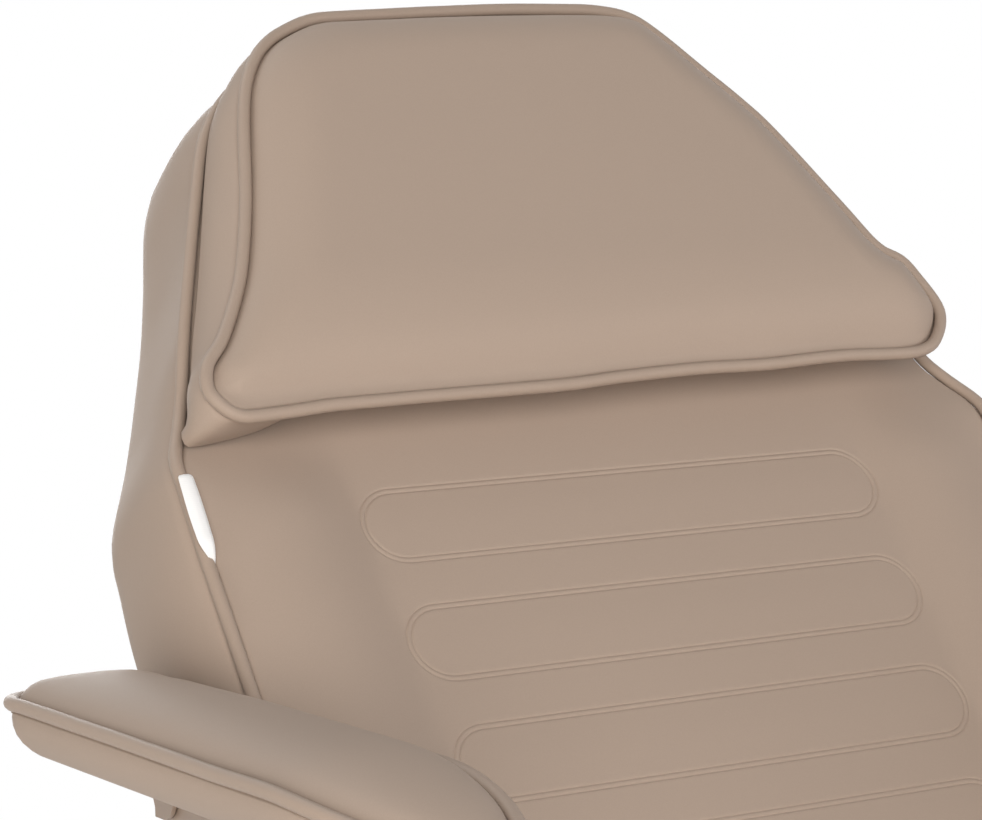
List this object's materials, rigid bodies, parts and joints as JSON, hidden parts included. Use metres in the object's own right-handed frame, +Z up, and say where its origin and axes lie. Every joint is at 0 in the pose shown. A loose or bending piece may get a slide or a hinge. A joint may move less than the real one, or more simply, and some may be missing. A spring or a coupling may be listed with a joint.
{
  "type": "beauty chair",
  "caption": "Reclining beauty chair with a channelled back, seat and leg rest, a strapped pillow and puffy armrests, on a pump column with a round base.",
  "frame": {"origin": "on the floor, in the middle of the base plate's underside, on the column's axis", "axes": "+Z up; the sitter looks along -Y; +X is the sitter's left hand, where the pedal and the clamp levers are"},
  "size_m": [0.8458, 1.5071, 1.1918],
  "materials": {
    "leatherette": "matte grained polyurethane leatherette",
    "back_cover": "leatherette stretched over board",
    "plywood": "raw plywood",
    "frame_steel": "satin grey powder coat",
    "chrome": "bright chrome plate",
    "zinc": "bright zinc plate",
    "rubber": "matt black rubber",
    "plastic": "moulded black plastic",
    "tape": "woven hook and loop tape"
  },
  "bodies": {
    "base": {"base_plate": "frame_steel", "base_ring": "rubber", "base_cover": "chrome", "column_collar": "rubber", "pump_housing": "chrome", "ram_gland": "plastic", "pedal_pin": "zinc"},
    "pedal": {"pedal_lever": "chrome", "pedal_pad": "rubber"},
    "lift": {"ram": "chrome", "thrust_washer": "zinc"},
    "seat": {"swivel_hub": "frame_steel", "seat_rail_left": "frame_steel", "seat_rail_right": "frame_steel", "seat_cross_front": "frame_steel", "seat_cross_middle": "frame_steel", "seat_cross_rear": "frame_steel", "seat_board": "plywood", "seat_cushion": "leatherette", "back_bracket_left": "frame_steel", "back_bracket_right": "frame_steel", "leg_bracket_left": "frame_steel", "leg_bracket_right": "frame_steel", "arm_stand_left": "frame_steel", "arm_stand_right": "frame_steel", "back_hinge_shaft": "zinc", "leg_hinge_shaft": "zinc", "back_clamp_rod": "zinc", "leg_clamp_rod": "zinc", "link_pin_left": "zinc", "link_pin_right": "zinc"},
    "back_clamp": {"back_lever": "plastic"},
    "leg_clamp": {"leg_lever": "plastic"},
    "swivel_lock": {"swivel_lever": "chrome"},
    "back": {"back_cushion": "leatherette", "back_board": "back_cover", "back_rail_left": "frame_steel", "back_rail_right": "frame_steel", "back_cross_lower": "frame_steel", "back_cross_upper": "frame_steel", "back_quadrant_left": "frame_steel", "back_quadrant_right": "frame_steel", "arm_shaft": "zinc", "loop_tape": "tape"},
    "pillow": {"pillow": "leatherette", "hook_tape": "tape"},
    "arm_left": {"arm_pad_left": "leatherette", "arm_bracket_left": "frame_steel", "arm_pin_left": "zinc"},
    "arm_right": {"arm_pad_right": "leatherette", "arm_bracket_right": "frame_steel", "arm_pin_right": "zinc"},
    "link_left": {"arm_link_left": "frame_steel"},
    "link_right": {"arm_link_right": "frame_steel"},
    "leg": {"leg_cushion": "leatherette", "leg_board": "plywood", "leg_rail_left": "frame_steel", "leg_rail_right": "frame_steel", "leg_quadrant_left": "frame_steel", "leg_quadrant_right": "frame_steel"}
  },
  "joints": [
    {"name": "pump_pedal", "type": "hinge", "parent": "base", "child": "pedal", "pos_m": [0.088, 0, 0.13], "axis": [0, 1, 0], "range_deg": [0, 16], "stiffness_Nm_per_rad": 12, "springref_deg": -20.05},
    {"name": "seat_lift", "type": "slide", "parent": "base", "child": "lift", "axis": [0, 0, 1], "range_m": [0, 0.13]},
    {"name": "swivel", "type": "hinge", "parent": "lift", "child": "seat", "pos_m": [0, 0, 0.4], "axis": [0, 0, 1], "continuous": true},
    {"name": "swivel_lock_turn", "type": "hinge", "parent": "seat", "child": "swivel_lock", "pos_m": [0.0423, 0, 0.3709], "axis": [1, 0, 0], "range_deg": [0, 70]},
    {"name": "back_clamp_turn", "type": "hinge", "parent": "seat", "child": "back_clamp", "pos_m": [0.2176, 0.31785, 0.43715], "axis": [1, 0, 0], "range_deg": [0, 50]},
    {"name": "leg_clamp_turn", "type": "hinge", "parent": "seat", "child": "leg_clamp", "pos_m": [0.2176, -0.32428, 0.38512], "axis": [1, 0, 0], "range_deg": [0, 50]},
    {"name": "recline", "type": "hinge", "parent": "seat", "child": "back", "pos_m": [0, 0.233, 0.522], "axis": [-1, 0, 0], "range_deg": [-19.4, 50.6]},
    {"name": "leg_rest", "type": "hinge", "parent": "seat", "child": "leg", "pos_m": [0, -0.318, 0.4749], "axis": [1, 0, 0], "range_deg": [-40, 20]},
    {"name": "arm_left_pivot", "type": "hinge", "parent": "back", "child": "arm_left", "pos_m": [0, 0.40282, 0.74214], "axis": [-1, 0, 0], "range_deg": [-50.6, 19.4]},
    {"name": "arm_right_pivot", "type": "hinge", "parent": "back", "child": "arm_right", "pos_m": [0, 0.40282, 0.74214], "axis": [-1, 0, 0], "range_deg": [-50.6, 19.4]},
    {"name": "link_left_pivot", "type": "hinge", "parent": "seat", "child": "link_left", "pos_m": [0, -0.04662, 0.53665], "axis": [-1, 0, 0], "range_deg": [-19.4, 50.6]},
    {"name": "link_right_pivot", "type": "hinge", "parent": "seat", "child": "link_right", "pos_m": [0, -0.04662, 0.53665], "axis": [-1, 0, 0], "range_deg": [-19.4, 50.6]},
    {"name": "pillow_draw", "type": "slide", "parent": "back", "child": "pillow", "axis": [0, -0.7727, 0.6347], "range_m": [0, 0.25]}
  ],
  "couplings": [
    {"joint": "arm_left_pivot", "follows": "recline", "ratio": -1},
    {"joint": "arm_right_pivot", "follows": "recline", "ratio": -1},
    {"joint": "link_left_pivot", "follows": "recline", "ratio": 1},
    {"joint": "link_right_pivot", "follows": "recline", "ratio": 1}
  ]
}
